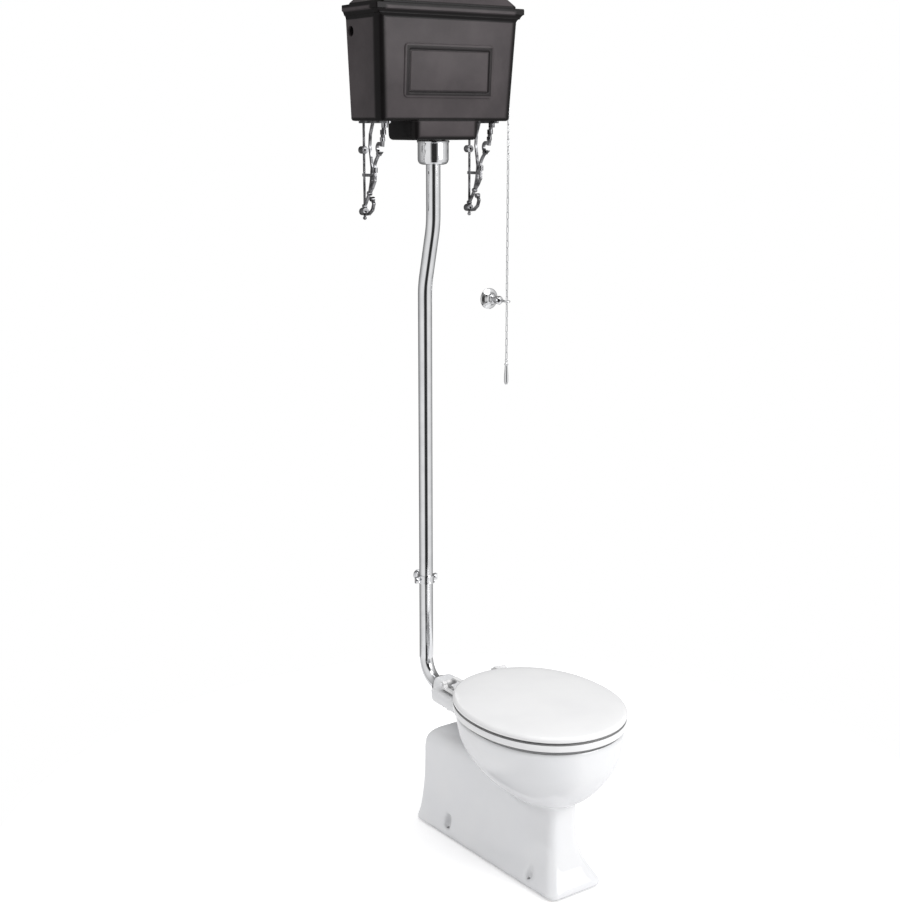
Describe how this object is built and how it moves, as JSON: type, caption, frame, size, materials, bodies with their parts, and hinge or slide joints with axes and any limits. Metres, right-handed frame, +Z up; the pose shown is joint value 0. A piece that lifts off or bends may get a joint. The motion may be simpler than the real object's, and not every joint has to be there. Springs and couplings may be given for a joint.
{
  "type": "high tank pull chain toilet",
  "caption": "High-level toilet: a pan with seat and lid, a wall cistern on scroll brackets, the flush pipe between them and a chain that works the siphon.",
  "frame": {"origin": "centre of the soil outlet in the pan's foot, at floor level", "axes": "+Z up, +Y towards the wall behind, +X to the right of someone who faces the wall"},
  "size_m": [0.4617, 0.74, 2.06],
  "materials": {
    "china": "white vitreous glaze",
    "seat_resin": "white, polished",
    "chrome": "polished chrome plate",
    "enamelled_iron": "black enamel on cast iron, semi-gloss",
    "brass": "plain brass, slightly dulled",
    "nylon": "off-white, matt",
    "rubber": "black rubber",
    "float_plastic": "orange, matt"
  },
  "bodies": {
    "frame": {"pan": "china", "flush_cone": "rubber", "flush_pipe": "chrome", "pipe_nut": "chrome", "pipe_seal": "rubber", "clip_front": "chrome", "clip_back": "chrome", "clip_screws": "chrome", "clip_stud": "chrome", "clip_rose": "chrome", "cistern_tank": "enamelled_iron", "bracket_left": "chrome", "bracket_right": "chrome", "siphon_body": "nylon", "siphon_washer": "rubber", "siphon_backnut": "nylon", "lever_pin": "chrome", "lever_bridge": "brass", "bridge_screws": "brass", "valve_body": "brass", "valve_washers": "rubber", "valve_backnut": "brass", "float_pin": "brass", "guide_plate": "chrome", "guide_rose": "chrome", "guide_arm": "chrome", "hinge_posts": "seat_resin", "hinge_pins": "chrome", "hinge_washers": "rubber", "hinge_nuts": "nylon"},
    "cover": {"cistern_cover": "enamelled_iron"},
    "seat": {"seat": "seat_resin", "seat_buffers": "rubber", "seat_straps": "seat_resin", "seat_screws": "chrome"},
    "lid": {"lid": "seat_resin", "lid_buffers": "rubber", "lid_straps": "seat_resin", "lid_screws": "chrome"},
    "lever": {"lever": "brass"},
    "chain": {"chain_ring": "chrome", "pull_chain": "chrome", "pull_handle": "chrome"},
    "piston": {"siphon_rod": "brass", "siphon_plate": "brass", "siphon_flap": "rubber", "lift_link": "brass"},
    "float": {"float_arm": "brass", "float_ball": "float_plastic"},
    "plunger": {"valve_plunger": "nylon"}
  },
  "joints": [
    {"name": "seat_hinge", "type": "hinge", "parent": "frame", "child": "seat", "pos_m": [0, -0.03, 0.406], "axis": [1, 0, 0], "range_deg": [-100, 0]},
    {"name": "lid_hinge", "type": "hinge", "parent": "seat", "child": "lid", "pos_m": [0, -0.03, 0.406], "axis": [-1, 0, 0], "range_deg": [0, 100]},
    {"name": "lever_tilt", "type": "hinge", "parent": "frame", "child": "lever", "pos_m": [0.117, 0.147, 1.995], "axis": [0, 1, 0], "range_deg": [0, 25]},
    {"name": "chain_slide", "type": "slide", "parent": "frame", "child": "chain", "axis": [0, 0, -1], "range_m": [0, 0.048]},
    {"name": "piston_lift", "type": "slide", "parent": "frame", "child": "piston", "axis": [0, 0, 1], "range_m": [0, 0.0298]},
    {"name": "float_arm", "type": "hinge", "parent": "frame", "child": "float", "pos_m": [0.14166, 0.191, 1.95], "axis": [0, 1, 0], "range_deg": [0, 18]},
    {"name": "plunger_slide", "type": "slide", "parent": "frame", "child": "plunger", "axis": [1, 0, 0], "range_m": [0, 0.0031]},
    {"name": "cover_lift", "type": "slide", "parent": "frame", "child": "cover", "axis": [0, 0, 1], "range_m": [0, 0.15]}
  ],
  "couplings": [
    {"joint": "chain_slide", "follows": "lever_tilt", "m_per_rad": 0.10913},
    {"joint": "piston_lift", "follows": "lever_tilt", "m_per_rad": 0.067462},
    {"joint": "plunger_slide", "follows": "float_arm", "m_per_rad": 0.009549}
  ]
}
